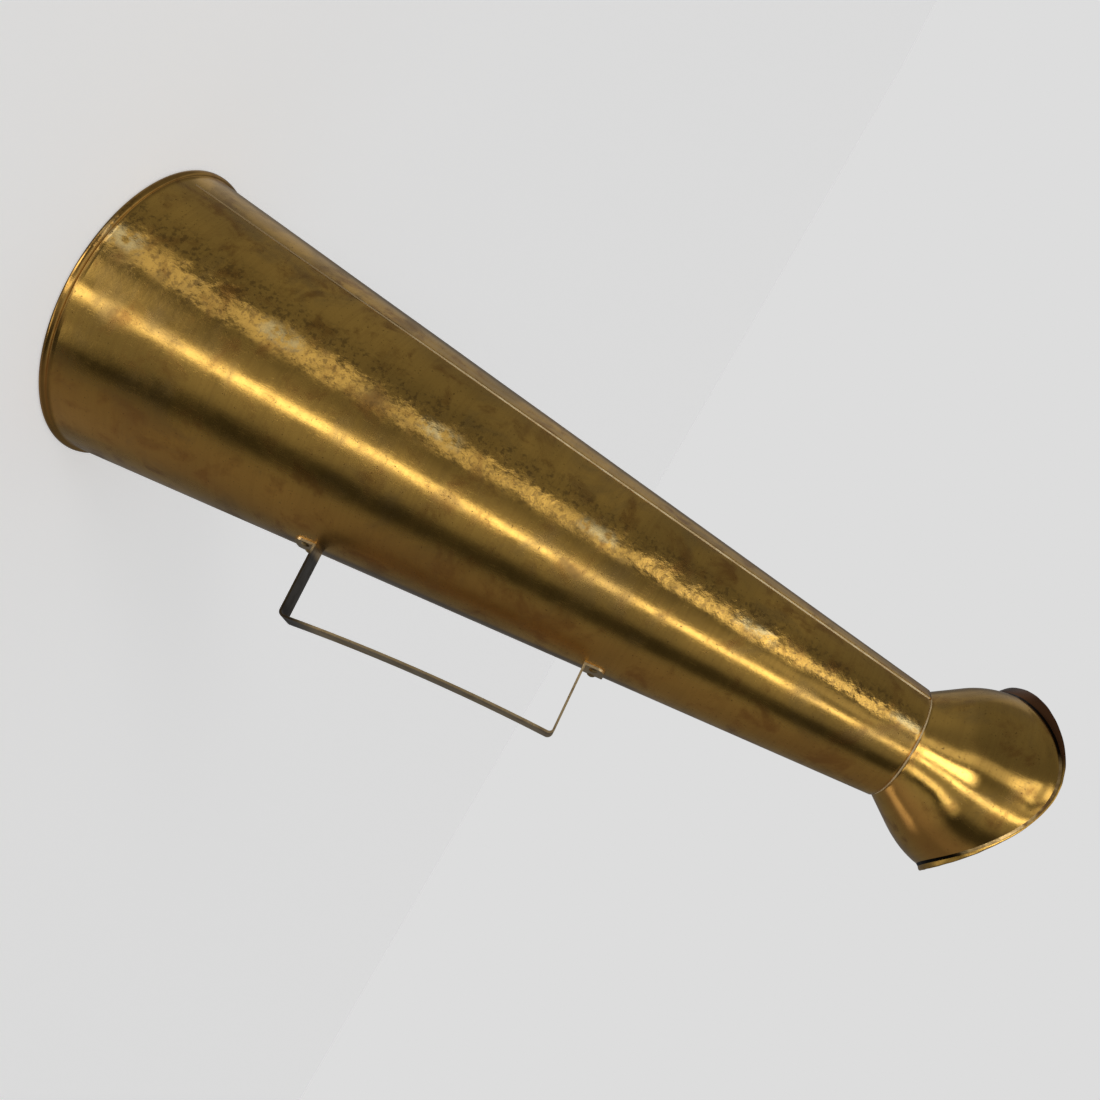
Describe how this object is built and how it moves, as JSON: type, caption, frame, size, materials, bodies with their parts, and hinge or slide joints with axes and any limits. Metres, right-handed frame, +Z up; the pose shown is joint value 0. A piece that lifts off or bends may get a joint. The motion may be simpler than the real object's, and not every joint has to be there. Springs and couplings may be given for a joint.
{
  "type": "megaphone",
  "caption": "Conical brass speaking megaphone with a rolled bell edge, a flared mouthpiece with a saddle-shaped face lip and a bent strap handle.",
  "frame": {"origin": "centre of the bell's resting edge, where the horn's axis meets the surface that it stands on", "axes": "+Z up the horn's axis from the bell to the mouthpiece; +X towards the strap handle; the mouthpiece's high cheek sides face about -Y and +Y"},
  "size_m": [0.141, 0.1258, 0.3877],
  "materials": {
    "horn_brass": "old polish, brown and olive patina",
    "mouthpiece_brass": "old polish, light patina",
    "handle_brass": "dull, tarnished",
    "rivet_brass": "worn bright on the heads",
    "rim_wire": "drawn wire, rust spots",
    "solder": "dull soft solder"
  },
  "bodies": {
    "root": {"cone_body": "horn_brass", "bell_rim_wire": "rim_wire", "seam_solder": "solder", "mouthpiece_cup": "mouthpiece_brass", "neck_solder": "solder", "face_flange": "mouthpiece_brass", "flange_solder": "solder", "handle_strap": "handle_brass", "handle_rivet_bell_1": "rivet_brass", "rivet_burr_bell_1": "rivet_brass", "handle_rivet_bell_2": "rivet_brass", "rivet_burr_bell_2": "rivet_brass", "handle_rivet_mouth_1": "rivet_brass", "rivet_burr_mouth_1": "rivet_brass", "handle_rivet_mouth_2": "rivet_brass", "rivet_burr_mouth_2": "rivet_brass"}
  },
  "joints": []
}
